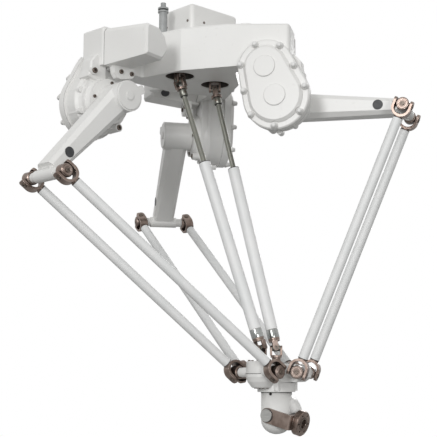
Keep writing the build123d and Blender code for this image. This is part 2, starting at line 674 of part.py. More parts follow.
# Write the drive shafts
top_yokes = []
low_yokes = []
for index in (1, 2):
    top, low, line, first, second = drive_frames(index)
    length = (low - top).length
    top_yokes.append(Plane(top, x_dir=first, z_dir=(0, 0, 1)) * drive_yoke(BASE_LOW + RECESS_H - DRIVE_TOP_Z, 12))
    seat = PLATFORM_HIGH if index == 1 else HUB_HIGH
    low_yokes.append(Plane(low, x_dir=first, z_dir=(0, 0, -1)) * drive_yoke(DRIVE_LOW_Z - seat, 14))
    cross_x = Plane(top, x_dir=first, z_dir=first.cross(second))
    save(cross_x * drive_cross(), "drive_cross_up_" + str(index))
    save(Plane(low, x_dir=first, z_dir=first.cross(second)) * drive_cross(), "drive_cross_low_" + str(index))
    at_top = Plane(top, x_dir=second, z_dir=line)
    at_low = Plane(low, x_dir=second, z_dir=-line)
    save(at_top * drive_yoke(48, SHAFT_R + 3), "drive_fork_up_" + str(index))
    spline = rod_cylinder(SHAFT_R, 48, SHAFT_END)
    for step in range(6):
        spline -= Rot(0, 0, 60 * step) * Pos(SHAFT_R, 0, 0) * rod_cylinder(1.6, 60, SHAFT_END + 1)
    save(at_top * spline, "drive_shaft_" + str(index))
    end_fork = drive_yoke(62, TUBE_R - 0.5) + rod_cylinder(TUBE_BORE_R, 60, 82)
    save(at_low * end_fork, "drive_fork_low_" + str(index))
    tube = rod_cylinder(TUBE_R, TUBE_START, length - 62) - rod_cylinder(TUBE_BORE_R, TUBE_START - 1, length)
    save(at_top * tube, "drive_tube_" + str(index))
save(Compound(children=top_yokes), "drive_yokes_up")
save(Compound(children=low_yokes), "drive_yokes_low")
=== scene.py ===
import json
from math import atan2, cos, hypot, pi, radians, sin

import bmesh
import bpy
from mathutils import Matrix, Vector


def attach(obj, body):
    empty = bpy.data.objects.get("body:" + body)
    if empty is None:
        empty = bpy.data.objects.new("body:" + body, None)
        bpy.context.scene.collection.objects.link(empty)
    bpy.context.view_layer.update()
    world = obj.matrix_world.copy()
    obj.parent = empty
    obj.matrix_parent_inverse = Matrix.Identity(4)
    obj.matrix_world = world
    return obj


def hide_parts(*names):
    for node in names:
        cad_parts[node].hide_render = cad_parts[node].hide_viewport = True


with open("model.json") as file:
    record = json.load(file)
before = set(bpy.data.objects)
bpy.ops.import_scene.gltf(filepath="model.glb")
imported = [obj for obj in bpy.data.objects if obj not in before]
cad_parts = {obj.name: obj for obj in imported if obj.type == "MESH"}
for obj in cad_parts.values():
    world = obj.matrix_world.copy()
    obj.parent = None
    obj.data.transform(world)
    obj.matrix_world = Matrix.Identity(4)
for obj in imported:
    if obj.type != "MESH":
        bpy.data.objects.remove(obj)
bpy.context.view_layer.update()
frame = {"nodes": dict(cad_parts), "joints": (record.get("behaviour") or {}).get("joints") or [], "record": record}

nodes = frame["nodes"]
scene = bpy.context.scene


# Shader maths

class Value:
    """Wraps a socket of one material's node tree, so that expressions add Math nodes."""

    def __init__(self, paint, socket):
        self.paint = paint
        self.socket = socket

    def _op(self, operation, *others):
        return self.paint.node("ShaderNodeMath", {"operation": operation}, self, *others)

    def __add__(self, other):
        return self._op("ADD", other)

    def __sub__(self, other):
        return self._op("SUBTRACT", other)

    def __rsub__(self, other):
        return self.paint.node("ShaderNodeMath", {"operation": "SUBTRACT"}, other, self)

    def __mul__(self, other):
        return self._op("MULTIPLY", other)

    __radd__ = __add__
    __rmul__ = __mul__

    def step(self, low, high):
        """0 below low, 1 above high, smooth between."""
        settings = {"interpolation_type": "SMOOTHSTEP"}
        return self.paint.node("ShaderNodeMapRange", settings, self, low, high)


class Paint:
    """A material with a Principled shader, filled from expressions."""

    def __init__(self, name):
        self.material = bpy.data.materials.new(name)
        self.material.use_nodes = True
        self.tree = self.material.node_tree
        self.shader = self.tree.nodes["Principled BSDF"]

    def node(self, kind, settings, *inputs, output=0, **named):
        """Adds a node: settings first, then the values or links of its sockets."""
        made = self.tree.nodes.new(kind)
        for key, value in settings.items():
            setattr(made, key, value)
        for socket, value in zip(made.inputs, inputs):
            self.feed(socket, value)
        for key, value in named.items():
            self.feed(made.inputs[key], value)
        return Value(self, made.outputs[output])

    def feed(self, socket, value):
        """Links a value to a socket, or sets the socket to a constant."""
        if value is None:
            return
        if isinstance(value, Value):
            self.tree.links.new(value.socket, socket)
        elif isinstance(value, tuple) and socket.type == "RGBA" and len(value) == 3:
            socket.default_value = value + (1.0,)
        else:
            socket.default_value = value

    def set(self, **sockets):
        """Feeds sockets of the Principled shader, named with _ for a space."""
        for name, value in sockets.items():
            self.feed(self.shader.inputs[name.replace("_", " ")], value)
        return self

    def place(self):
        """Object coordinates."""
        return self.node("ShaderNodeTexCoord", {}, output=3)

    def noise(self, scale, detail=4.0, where=None):
        return self.node("ShaderNodeTexNoise", {}, Vector=where or self.place(), Scale=scale,
                         Detail=detail)

    def stretched(self, sx, sy, sz):
        """Object coordinates scaled by a different amount along each axis."""
        return self.node("ShaderNodeVectorMath", {"operation": "MULTIPLY"}, self.place(),
                         (sx, sy, sz))

    def blend(self, share, first, second):
        """A colour between first and second."""
        made = self.tree.nodes.new("ShaderNodeMix")
        made.data_type = "RGBA"
        self.feed(made.inputs[0], share)
        self.feed(made.inputs[6], first)
        self.feed(made.inputs[7], second)
        return Value(self, made.outputs[2])

    def soft_edges(self, radius):
        """The surface normal with its edges rounded off."""
        return self.node("ShaderNodeBevel", {"samples": 4}, radius)

    def edge_mask(self, rounded):
        """1 where the rounded normal leaves the true one, on edges and in corners."""
        true = self.node("ShaderNodeNewGeometry", {}, output=1)
        dot = self.node("ShaderNodeVectorMath", {"operation": "DOT_PRODUCT"}, rounded, true,
                        output=1)
        return (1.0 - dot).step(0.0, 0.2)

    def occlusion_shade(self, reach):
        """1 deep in corners and hollows, 0 on open faces: ambient occlusion, used as a mask of painted shade."""
        shade = self.node("ShaderNodeAmbientOcclusion", {"samples": 6}, Distance=reach, output=1)
        return 1.0 - shade.step(0.25, 0.85)

    def bump(self, height, strength, distance, normal=None):
        return self.node("ShaderNodeBump", {}, Height=height, Strength=strength,
                         Distance=distance, Normal=normal)


# Finishes

def casting_paint():
    """White paint on castings: slight clouds, dust, and edges lightened as rubbed wear and painted highlight."""
    paint = Paint("casting_paint")
    rounded = paint.soft_edges(0.0022)
    edge = paint.edge_mask(rounded)
    cloud = paint.noise(3.2, 3.0)
    speck = paint.noise(60.0, 5.0)
    peel = paint.noise(520.0, 2.0)
    cast = paint.noise(90.0, 4.0)
    tone = paint.blend(cloud.step(0.35, 0.7), (0.80, 0.795, 0.78), (0.84, 0.838, 0.825))
    dusty = paint.blend(speck.step(0.62, 0.78) * 0.25, tone, (0.66, 0.65, 0.63))
    # edges lightened: rubbed wear and painted highlight
    rubbed_and_highlit = paint.blend(edge * speck.step(0.45, 0.7) * 0.5, dusty, (0.88, 0.88, 0.88))
    return paint.set(Base_Color=rubbed_and_highlit, Roughness=0.36 + cloud * 0.12 + edge * 0.06,
                     Coat_Weight=0.15, Coat_Roughness=0.2,
                     Normal=paint.bump(peel * 0.6 + cast, 0.12, 0.0006, rounded))


def rod_shell():
    """The smooth white skin of rods and drive tubes."""
    paint = Paint("rod_shell")
    rounded = paint.soft_edges(0.0008)
    cloud = paint.noise(14.0, 3.0)
    speck = paint.noise(150.0, 3.0)
    tone = paint.blend(cloud.step(0.3, 0.7), (0.80, 0.81, 0.81), (0.85, 0.85, 0.85))
    tone = paint.blend(speck.step(0.66, 0.8) * 0.2, tone, (0.62, 0.61, 0.6))
    return paint.set(Base_Color=tone, Roughness=0.4 + cloud * 0.1,
                     Normal=paint.bump(speck, 0.03, 0.0003, rounded))


def screw_paint():
    """Painted screws."""
    paint = Paint("screw_paint")
    rounded = paint.soft_edges(0.0008)
    grain = paint.noise(300.0, 3.0)
    tone = paint.blend(grain.step(0.5, 0.8) * 0.4, (0.78, 0.78, 0.77), (0.6, 0.6, 0.59))
    return paint.set(Base_Color=tone, Roughness=0.35 + grain * 0.1,
                     Normal=paint.bump(grain, 0.06, 0.0003, rounded))


def bronze():
    """Burnished copper-brown castings: a dull skin, painted shade in the hollows, and edges lightened as rubbed
    wear and painted highlight.
    """
    paint = Paint("bronze")
    rounded = paint.soft_edges(0.0022)
    edge = paint.edge_mask(rounded)
    grain = paint.noise(700.0, 3.0)
    cloud = paint.noise(45.0, 4.0)
    painted_hollow_shade = paint.occlusion_shade(0.02)
    tone = paint.blend(cloud.step(0.3, 0.7), (0.20, 0.148, 0.125), (0.32, 0.255, 0.222))
    # edges lightened: rubbed wear and painted highlight
    tone = paint.blend(edge * cloud.step(0.3, 0.55) * 0.8, tone, (0.64, 0.54, 0.49))
    # painted shade: the hollows darkened almost to black by ambient occlusion
    tone = paint.blend(painted_hollow_shade * 0.85, tone, (0.045, 0.030, 0.024))
    return paint.set(Base_Color=tone, Metallic=0.92, Roughness=0.26 + cloud * 0.18 - edge * 0.08,
                     Normal=paint.bump(grain, 0.1, 0.0003, rounded))


def shaft_steel():
    """Greenish drawn steel with fine lines along the shaft."""
    paint = Paint("shaft_steel")
    rounded = paint.soft_edges(0.0006)
    edge = paint.edge_mask(rounded)
    lines = paint.noise(40.0, 4.0, paint.stretched(30.0, 30.0, 1.0))
    cloud = paint.noise(30.0, 3.0)
    tone = paint.blend(lines, (0.20, 0.20, 0.175), (0.29, 0.29, 0.26))
    tone = paint.blend(edge * 0.5, tone, (0.5, 0.5, 0.46))
    return paint.set(Base_Color=tone, Metallic=0.9, Roughness=0.28 + cloud * 0.16,
                     Normal=paint.bump(lines, 0.05, 0.0003, rounded))


def dark_screw():
    """Bronzed cap screws with rims lightened as rubbed wear and painted highlight; also the dark lining painted as
    shade in the tool flange's bore.
    """
    paint = Paint("dark_screw")
    rounded = paint.soft_edges(0.0007)
    edge = paint.edge_mask(rounded)
    cloud = paint.noise(80.0, 3.0)
    tone = paint.blend(cloud.step(0.3, 0.7), (0.11, 0.088, 0.075), (0.19, 0.155, 0.13))
    # rims lightened: rubbed wear and painted highlight
    tone = paint.blend(edge * 0.7, tone, (0.46, 0.40, 0.35))
    return paint.set(Base_Color=tone, Metallic=0.8, Roughness=0.34 + cloud * 0.14,
                     Normal=paint.bump(cloud, 0.08, 0.0002, rounded))


def tilt_steel():
    """Ground steel of the tilt shaft's caps."""
    paint = Paint("tilt_steel")
    rounded = paint.soft_edges(0.0008)
    edge = paint.edge_mask(rounded)
    ground = paint.noise(35.0, 4.0, paint.stretched(1.0, 1.0, 22.0))
    tone = paint.blend(ground.step(0.3, 0.7), (0.40, 0.40, 0.39), (0.52, 0.52, 0.50))
    tone = paint.blend(edge * 0.5, tone, (0.7, 0.7, 0.68))
    return paint.set(Base_Color=tone, Metallic=0.85, Roughness=0.36 + ground * 0.12,
                     Normal=paint.bump(ground, 0.05, 0.0002, rounded))


def recess_lining():
    """Dusty brown-grey lining of the drive recesses."""
    paint = Paint("recess_lining")
    rounded = paint.soft_edges(0.0006)
    dust = paint.noise(30.0, 4.0)
    tone = paint.blend(dust.step(0.35, 0.7), (0.085, 0.076, 0.068), (0.15, 0.135, 0.12))
    return paint.set(Base_Color=tone, Roughness=0.55 + dust * 0.2,
                     Normal=paint.bump(dust, 0.1, 0.0004, rounded))


def socket_shadow():
    """Painted shade at the bottom of the screws' sockets, slightly mottled."""
    paint = Paint("socket_shadow")
    mottle = paint.noise(400.0, 3.0)
    tone = paint.blend(mottle, (0.012, 0.011, 0.010), (0.035, 0.03, 0.027))
    return paint.set(Base_Color=tone, Roughness=0.8 + mottle * 0.1,
                     Normal=paint.bump(mottle, 0.1, 0.0002))


def seam_grey():
    """Grey sealing compound in the joint lines."""
    paint = Paint("seam_grey")
    dust = paint.noise(60.0, 3.0)
    tone = paint.blend(dust.step(0.3, 0.7), (0.16, 0.158, 0.15), (0.26, 0.255, 0.245))
    return paint.set(Base_Color=tone, Roughness=0.6 + dust * 0.15,
                     Normal=paint.bump(dust, 0.08, 0.0002))


def polished_steel():
    """Bright turned ferrules of the drive tubes."""
    paint = Paint("polished_steel")
    rounded = paint.soft_edges(0.0005)
    turned = paint.noise(60.0, 3.0, paint.stretched(1.0, 1.0, 14.0))
    smear = paint.noise(25.0, 3.0)
    tone = paint.blend(smear.step(0.4, 0.7), (0.42, 0.43, 0.42), (0.30, 0.31, 0.30))
    return paint.set(Base_Color=tone, Metallic=1.0, Roughness=0.14 + smear * 0.12,
                     Normal=paint.bump(turned, 0.03, 0.0002, rounded))


def dark_rubber():
    """Seals and wipers, with dust on them; also the rings painted as shade at the ends of the rod tubes."""
    paint = Paint("dark_rubber")
    rounded = paint.soft_edges(0.0005)
    dust = paint.noise(35.0, 4.0)
    grain = paint.noise(900.0, 2.0)
    tone = paint.blend(dust.step(0.45, 0.75) * 0.5, (0.022, 0.022, 0.023), (0.07, 0.068, 0.064))
    return paint.set(Base_Color=tone, Roughness=0.6 + dust * 0.15,
                     Normal=paint.bump(grain, 0.12, 0.0002, rounded))


def dark_plastic():
    """Moulded dark plugs."""
    paint = Paint("dark_plastic")
    rounded = paint.soft_edges(0.0005)
    grain = paint.noise(600.0, 2.0)
    cloud = paint.noise(60.0, 3.0)
    tone = paint.blend(cloud.step(0.3, 0.7), (0.035, 0.036, 0.04), (0.06, 0.06, 0.065))
    return paint.set(Base_Color=tone, Roughness=0.45 + cloud * 0.12,
                     Normal=paint.bump(grain, 0.15, 0.0002, rounded))


def grey_plastic():
    """The moulded cable connector."""
    paint = Paint("grey_plastic")
    rounded = paint.soft_edges(0.0008)
    cloud = paint.noise(50.0, 3.0)
    grain = paint.noise(500.0, 2.0)
    tone = paint.blend(cloud.step(0.3, 0.7), (0.30, 0.31, 0.31), (0.38, 0.39, 0.39))
    return paint.set(Base_Color=tone, Roughness=0.42 + cloud * 0.12,
                     Normal=paint.bump(grain, 0.12, 0.0002, rounded))


finishes = {make.__name__: make().material for make in (
    casting_paint, rod_shell, screw_paint, bronze, shaft_steel, polished_steel, tilt_steel,
    dark_screw, dark_plastic, dark_rubber, grey_plastic, recess_lining, socket_shadow, seam_grey)}
slot_of = {row["node"]: row["material_slot"] for row in frame["record"]["subparts"]}
slot_of["tilt_shaft"] = "tilt_steel"
for node_name, node_object in nodes.items():
    node_object.data.materials.clear()
    node_object.data.materials.append(finishes[slot_of[node_name]])


# Places, worked out from the joints. Lengths here and below are in millimetres.

MM = 0.001
UNITS = ("a", "b", "c")
SKEW = 12.0               # turn of a motor cover against its unit, in degrees
ROD_SPACING = 178.0       # between both rods of a unit
LOWER_RADIUS = 90.0       # of the rods' lower joints round the platform's centre
CENTRE_ABOVE_WRIST = 62.0
UPWARD = (0.0, 0.0, 1.0)
joint_of = {row["name"]: row for row in frame["joints"]}


def spot_of(joint):
    return Vector(joint_of[joint]["pos_m"])


def way_of(joint):
    return Vector(joint_of[joint]["axis"])


def frame_at(spot, up, side):
    """A frame with its Z axis along up and its X axis as near side as it can be."""
    up = Vector(up).normalized()
    across = up.cross(Vector(side)).normalized()
    turn = Matrix((across.cross(up), across, up)).transposed()
    return Matrix.Translation(spot) @ turn.to_4x4()


def moved(place, x=0.0, y=0.0, z=0.0):
    """A frame shifted along its own axes."""
    return place @ Matrix.Translation((x * MM, y * MM, z * MM))


axis_level = spot_of("arm_b_turn").z
pivot_radius = spot_of("arm_b_turn").xy.length
azimuth_of = {unit: atan2(spot_of("arm_%s_turn" % unit).y, spot_of("arm_%s_turn" % unit).x)
              for unit in UNITS}
platform_centre = spot_of("wrist_turn") + Vector((0.0, 0.0, CENTRE_ABOVE_WRIST * MM))


def unit_frame(unit, skew=0.0):
    """X outward and Y towards the motor side of a unit, at the level of the arm axes."""
    turn = Matrix.Rotation(azimuth_of[unit] + radians(skew), 4, "Z")
    return Matrix.Translation((0.0, 0.0, axis_level)) @ turn


def towards_motor(unit, x, y, z):
    """A frame at a unit's x, y, z whose Z axis points towards the motor side."""
    return moved(unit_frame(unit), x, y, z) @ Matrix.Rotation(radians(-90.0), 4, "X")


def rod_ends(unit, side):
    """Both joint centres of a rod, and the way from its unit's second rod to the first."""
    across = Matrix.Rotation(azimuth_of[unit] + radians(90.0), 3, "Z") @ Vector((1.0, 0.0, 0.0))
    outward = Matrix.Rotation(azimuth_of[unit], 3, "Z") @ Vector((1.0, 0.0, 0.0))
    low = (platform_centre + outward * (LOWER_RADIUS * MM)
           + across * (side * ROD_SPACING / 2 * MM))
    number = 1 if side > 0 else 2
    high = spot_of(("rod_b%d_turn" if unit == "b" else "rod_" + unit + "%d_swing") % number)
    return high, low, across


# Making pieces

SHARP_ANGLE = 32.0
FINE = 64                 # sides of the larger turned pieces
HEAD_SIDES = 24           # sides of a screw head


def finish_piece(piece, body):
    """Smooth faces with sharp edges kept, and the body that the piece moves with."""
    piece.data.shade_smooth()
    piece.data.set_sharp_from_angle(angle=radians(SHARP_ANGLE))
    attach(piece, body)
    return piece


def piece_from(name, mesh, finish):
    """An object at the origin for a mesh that already has its place."""
    if finish:
        mesh.materials.append(finishes[finish])
    piece = bpy.data.objects.new(name, mesh)
    scene.collection.objects.link(piece)
    return piece


def lathe_object(name, profile, places, around):
    """An object of turned rings: a closed profile of (radius, height), turned about the Z axis
    of each place. A profile point on the axis becomes one corner."""
    made = bmesh.new()
    for place in places:
        rings = []
        for radius, height in profile:
            count = around if radius > 0.0 else 1
            rings.append([
                made.verts.new(place @ (Vector((radius * cos(2 * pi * k / count),
                                                radius * sin(2 * pi * k / count),
                                                height)) * MM))
                for k in range(count)])
        for low, high in zip(rings, rings[1:] + rings[:1]):
            if len(low) == len(high) == 1:
                continue
            for k in range(around):
                ids = (low[k % len(low)], low[(k + 1) % len(low)],
                       high[(k + 1) % len(high)], high[k % len(high)])
                made.faces.new(list(dict.fromkeys(ids)))
    bmesh.ops.recalc_face_normals(made, faces=made.faces)
    mesh = bpy.data.meshes.new(name)
    made.to_mesh(mesh)
    made.free()
    return piece_from(name, mesh, None)


def lathe(name, profile, places, finish, body, around=48):
    """A finished piece of turned rings."""
    piece = lathe_object(name, profile, places, around)
    piece.data.materials.append(finishes[finish])
    return finish_piece(piece, body)


def tree_of(name, inputs):
    """An empty node tree for geometry with the named inputs, and its first and last nodes."""
    tree = bpy.data.node_groups.new(name, "GeometryNodeTree")
    for way in ("INPUT", "OUTPUT"):
        tree.interface.new_socket("Geometry", in_out=way, socket_type="NodeSocketGeometry")
    for label, kind in inputs:
        tree.interface.new_socket(label, in_out="INPUT", socket_type=kind)
    return tree, tree.nodes.new("NodeGroupInput"), tree.nodes.new("NodeGroupOutput")


def attribute_node(tree, name, kind):
    """The output of a node that reads a named attribute."""
    node = tree.nodes.new("GeometryNodeInputNamedAttribute")
    node.data_type = kind
    node.inputs["Name"].default_value = name
    return next(socket for socket in node.outputs
                if socket.enabled and socket.name == "Attribute")


def finish_tree(tree, last, given, out):
    """Realize Instances and Set Material, which each tree ends in."""
    real = tree.nodes.new("GeometryNodeRealizeInstances")
    paint = tree.nodes.new("GeometryNodeSetMaterial")
    tree.links.new(last, real.inputs["Geometry"])
    tree.links.new(real.outputs["Geometry"], paint.inputs["Geometry"])
    tree.links.new(given.outputs["Finish"], paint.inputs["Material"])
    tree.links.new(paint.outputs["Geometry"], out.inputs["Geometry"])
    return tree


def placing_tree():
    """Sets one part on each point, turned by the point's own turn."""
    tree, given, out = tree_of("set_parts", (("Part", "NodeSocketObject"),
                                             ("Finish", "NodeSocketMaterial")))
    part = tree.nodes.new("GeometryNodeObjectInfo")
    place = tree.nodes.new("GeometryNodeInstanceOnPoints")
    tree.links.new(given.outputs["Part"], part.inputs["Object"])
    tree.links.new(given.outputs["Geometry"], place.inputs["Points"])
    tree.links.new(part.outputs["Geometry"], place.inputs["Instance"])
    tree.links.new(attribute_node(tree, "turn", "FLOAT_VECTOR"), place.inputs["Rotation"])
    return finish_tree(tree, place.outputs["Instances"], given, out)


def seam_tree():
    """Turns a line of edges into a thin round bead."""
    tree, given, out = tree_of("seam_bead", (("Radius", "NodeSocketFloat"),
                                             ("Finish", "NodeSocketMaterial")))
    line = tree.nodes.new("GeometryNodeMeshToCurve")
    circle = tree.nodes.new("GeometryNodeCurvePrimitiveCircle")
    circle.inputs["Resolution"].default_value = 6
    bead = tree.nodes.new("GeometryNodeCurveToMesh")
    tree.links.new(given.outputs["Geometry"], line.inputs["Mesh"])
    tree.links.new(given.outputs["Radius"], circle.inputs["Radius"])
    tree.links.new(line.outputs["Curve"], bead.inputs["Curve"])
    tree.links.new(circle.outputs["Curve"], bead.inputs["Profile Curve"])
    return finish_tree(tree, bead.outputs["Mesh"], given, out)


trees = {"set_parts": placing_tree(), "seam_bead": seam_tree()}


def run_tree(name, source, tree, body, **inputs):
    """Runs a tree on a source mesh and leaves its result as a plain mesh piece."""
    carrier = bpy.data.objects.new(name + "_source", source)
    scene.collection.objects.link(carrier)
    step = carrier.modifiers.new("tree", "NODES")
    step.node_group = trees[tree]
    for item in trees[tree].interface.items_tree:
        if item.in_out == "INPUT" and item.name in inputs:
            step[item.identifier] = inputs[item.name]
    bpy.context.view_layer.update()
    ready = carrier.evaluated_get(bpy.context.evaluated_depsgraph_get())
    mesh = bpy.data.meshes.new_from_object(ready)
    bpy.data.objects.remove(carrier)
    mesh.name = name
    return finish_piece(piece_from(name, mesh, None), body)


def set_parts(name, part, places, finish, body):
    """One piece made of the same part at several places of a body."""
    source = bpy.data.meshes.new(name + "_points")
    source.from_pydata([place.translation for place in places], [], [])
    turn = source.attributes.new("turn", "FLOAT_VECTOR", "POINT")
    for item, place in zip(turn.data, places):
        item.vector = place.to_euler()
    return run_tree(name, source, "set_parts", body, Part=parts[part], Finish=finishes[finish])


def seam(name, points, radius, finish, body):
    """A closed bead along points."""
    source = bpy.data.meshes.new(name + "_line")
    count = len(points)
    source.from_pydata(points, [(k, (k + 1) % count) for k in range(count)], [])
    return run_tree(name, source, "seam_bead", body, Radius=radius * MM,
                    Finish=finishes[finish])


def screw_part(name, radius, height, socket):
    """A screw head with a chamfered rim and a hexagonal socket, its seat at z = 0. It is removed
    before the end."""
    rings = [(radius, 0.0, HEAD_SIDES), (radius, height * 0.75, HEAD_SIDES),
             (radius * 0.86, height, HEAD_SIDES), (socket, height, 6),
             (socket, height * 0.4, 6), (0.0, height * 0.4, 1)]
    made = bmesh.new()
    loops = []
    for ring, level, count in rings:
        loops.append([made.verts.new((ring * MM * cos(2 * pi * (k + 0.5) / count),
                                      ring * MM * sin(2 * pi * (k + 0.5) / count),
                                      level * MM)) for k in range(count)])
    for low, high in zip(loops, loops[1:]):
        for k in range(HEAD_SIDES):
            after = (k + 1) % HEAD_SIDES
            ids = (low[k * len(low) // HEAD_SIDES], low[after * len(low) // HEAD_SIDES],
                   high[after * len(high) // HEAD_SIDES], high[k * len(high) // HEAD_SIDES])
            corners = list(dict.fromkeys(ids))
            if len(corners) > 2:
                made.faces.new(corners)
    mesh = bpy.data.meshes.new(name)
    bmesh.ops.recalc_face_normals(made, faces=made.faces)
    made.to_mesh(mesh)
    made.free()
    part = bpy.data.objects.new(name, mesh)
    scene.collection.objects.link(part)
    return part


# Radius of the head, its height, and radius of the socket.
parts = {name: screw_part(name, *sizes) for name, sizes in (
    ("hub_screw", (5.5, 4.5, 2.8)), ("pin_cap", (8.5, 2.2, 3.2)), ("end_cap", (7.5, 3.0, 3.4)),
    ("small_screw", (4.2, 2.2, 1.9)), ("grub", (4.6, 1.0, 2.3)))}


# Base

GEAR_RADIUS = 108.0               # rim of the gearbox cover round the arm axis
GEAR_HIGH = (-33.0, 96.0, 91.0)   # the cover's upper circle: place beside the axis, and radius
FLANK = -152.0                    # where the gearbox cover meets its housing
LOW_ARC, HIGH_ARC = 48, 40        # steps of the cover's two arcs
HUB_RING = (62.0, -50.0)          # circle of the hub ring's screws, and the level of their seat
HUB_FIRST = 6                     # where the first of them sits, in degrees
RECESSES = ((-66, -59), (72, 16))
RECESS_MOUTH = 116.0              # above the arm axes
RECESS_DEPTH = 34.0
BOX = (30.0, 60.0, 319.0, 30.0)   # the connection box: its place, and its turn in degrees
BOX_ENDS = (-107.5, 107.5)
BOX_SIDES = (-75, 75)
CONNECTOR = (-117, -22, 262)


def cover_outline(unit, y, grow):
    """The gearbox cover's oval: both arcs between their common tangents."""
    x, z, radius = GEAR_HIGH
    gap = hypot(x, z)
    lean = atan2(z, x)
    fan = pi / 2 - (GEAR_RADIUS - radius) / gap
    place = unit_frame(unit)
    points = []
    for k in range(LOW_ARC + 1):
        angle = lean + fan + (2 * pi - 2 * fan) * k / LOW_ARC
        points.append((pivot_radius / MM + (GEAR_RADIUS + grow) * cos(angle),
                       (GEAR_RADIUS + grow) * sin(angle)))
    for k in range(HIGH_ARC + 1):
        angle = lean - fan + 2 * fan * k / HIGH_ARC
        points.append((pivot_radius / MM + x + (radius + grow) * cos(angle),
                       z + (radius + grow) * sin(angle)))
    return [place @ (Vector((a, y, b)) * MM) for a, b in points]


def gearbox_seams():
    """A joint line round each gearbox cover."""
    for unit in UNITS:
        seam("gearbox_gasket_" + unit, cover_outline(unit, FLANK - 0.6, -0.25), 0.6,
             "seam_grey", "base")


def hub_ring_screws():
    """Four screws in the ring that each arm's hub turns in."""
    circle, seat = HUB_RING
    places = [towards_motor(unit, pivot_radius / MM + circle * cos(angle), seat,
                            circle * sin(angle))
              for unit in UNITS for angle in (radians(HUB_FIRST + 90 * k) for k in range(4))]
    set_parts("hub_ring_screws", "hub_screw", places, "dark_screw", "base")


def motor_cover_seams():
    """A joint line where each motor cover meets its wing."""
    outline = ((342, 112), (342, 222), (332, 236), (271, 236), (243, 216), (229, 184),
               (229, 146), (257, 112))
    for unit in UNITS:
        place = unit_frame(unit, SKEW)
        points = [place @ (Vector((out, -114.8, level)) * MM) for out, level in outline]
        seam("motor_cover_seam_" + unit, points, 0.7, "seam_grey", "base")


def motor_cover_plugs():
    """An oval cable plug in the bevel under the inner side of each motor cover."""
    places = []
    for unit in UNITS:
        spot = moved(unit_frame(unit, SKEW), 240.0, 11.0, 135.0)
        lean = frame_at(spot.translation, spot.to_3x3() @ Vector((-34.0, 0.0, -28.0)),
                        spot.to_3x3() @ Vector((0.0, 1.0, 0.0)))
        places.append(lean @ Matrix.Diagonal((1.25, 1.0, 1.0, 1.0)))
    lathe("motor_cover_plugs", ((0.0, -4), (12.5, -4), (12.5, 1.2), (11.2, 2.2), (8.5, 2.2),
                                (7.5, 1.0), (0.0, 1.0)), places, "dark_plastic", "base")


def socket_floors():
    """Painted shade: dark discs at the bottoms of the sockets in the base's own screws."""
    places = []
    for unit in UNITS:
        top = moved(unit_frame(unit, SKEW), pivot_radius / MM - 9.0, -89.0, 224.0)
        places.append((moved(top, z=4.2), 3.3))
        for x, y, z, head, socket in ((-62.0, -18.0, 96.0, 5.0, 3.6),
                                      (-19.0, -18.0, 96.0, 5.0, 3.6),
                                      (60.0, -54.0, 92.0, 6.0, 4.3),
                                      (-39.0, -50.0, -80.0, 3.0, 4.3)):
            seat = towards_motor(unit, pivot_radius / MM + x, y, z)
            places.append((moved(seat, z=head - 1.8), socket))
    for radius in sorted({reach for _, reach in places}):
        lathe("socket_floors_%d" % round(radius * 10),
              ((0.0, -0.1), (radius, -0.1), (radius, 0.1), (0.0, 0.1)),
              [place for place, reach in places if reach == radius], "socket_shadow", "base", 16)


def recess_liners():
    """Folded linings of the two recesses that the drive shafts leave the base through."""
    roof = RECESS_DEPTH
    places = [Matrix.Translation((x * MM, y * MM, axis_level + RECESS_MOUTH * MM))
              for x, y in RECESSES]
    folds = [(46.5 - 2.5 * k, roof - 1.2 - (3.0 if k % 2 else 0.0)) for k in range(9)]
    profile = [(47.8, 2.0), (47.8, roof - 0.3), (24.0, roof - 0.3)] + folds[::-1] + [(46.8, 2.0)]
    lathe("recess_liners", profile, places, "recess_lining", "base", FINE)


def box_screws():
    """Small screws on the connection box's sides."""
    x, y, z, turn = BOX
    box = (Matrix.Translation((x * MM, y * MM, axis_level + z * MM))
           @ Matrix.Rotation(radians(turn), 4, "Z"))
    spots = [(x, y, (0.0, y, 0.0)) for y in BOX_SIDES for x in (-52, 52)]
    spots += [(x, y, (x, 0.0, 0.0)) for x in BOX_ENDS for y in (-54, 54)]
    places = [frame_at(moved(box, x, y, 0.0).translation, box.to_3x3() @ Vector(out), UPWARD)
              for x, y, out in spots]
    set_parts("box_screws", "small_screw", places, "dark_screw", "base")


def gland_rings():
    """A seal and a foot on the cable connector."""
    x, y, z = CONNECTOR
    place = Matrix.Translation((x * MM, y * MM, axis_level + z * MM))
    lathe("gland_seal", ((13.0, 89.2), (14.6, 89.8), (14.6, 93.2), (13.0, 93.8)), [place],
          "dark_rubber", "base")
    lathe("gland_foot", ((14.0, 0.0), (17.5, 0.0), (17.5, 4.0), (16.0, 6.0), (14.0, 6.0)),
          [place], "grey_plastic", "base")


# Rods and their joints

ROD_RADIUS = 15.5
ROD_BORE = 11.0
ROD_END = 46.0          # from a rod's joint to the end of its tube
ROD_LENGTH = 900.0
TUBE_STEP = 50.0
PIN_REACH = 31.0        # from a rod's joint to the cap of its fork pin
PLATE_REACH = 17.0      # from a rod's joint to the plate on its block


def tube_profile(radius, bore, start, end):
    """A tube with softened ends, cut into short lengths so that its faces stay compact."""
    count = max(2, round((end - start) / TUBE_STEP))
    outside = [(radius, start + 0.8 + (end - start - 1.6) * k / count) for k in range(count + 1)]
    return [(bore, start), (radius - 0.8, start)] + outside + [(radius - 0.8, end), (bore, end)]


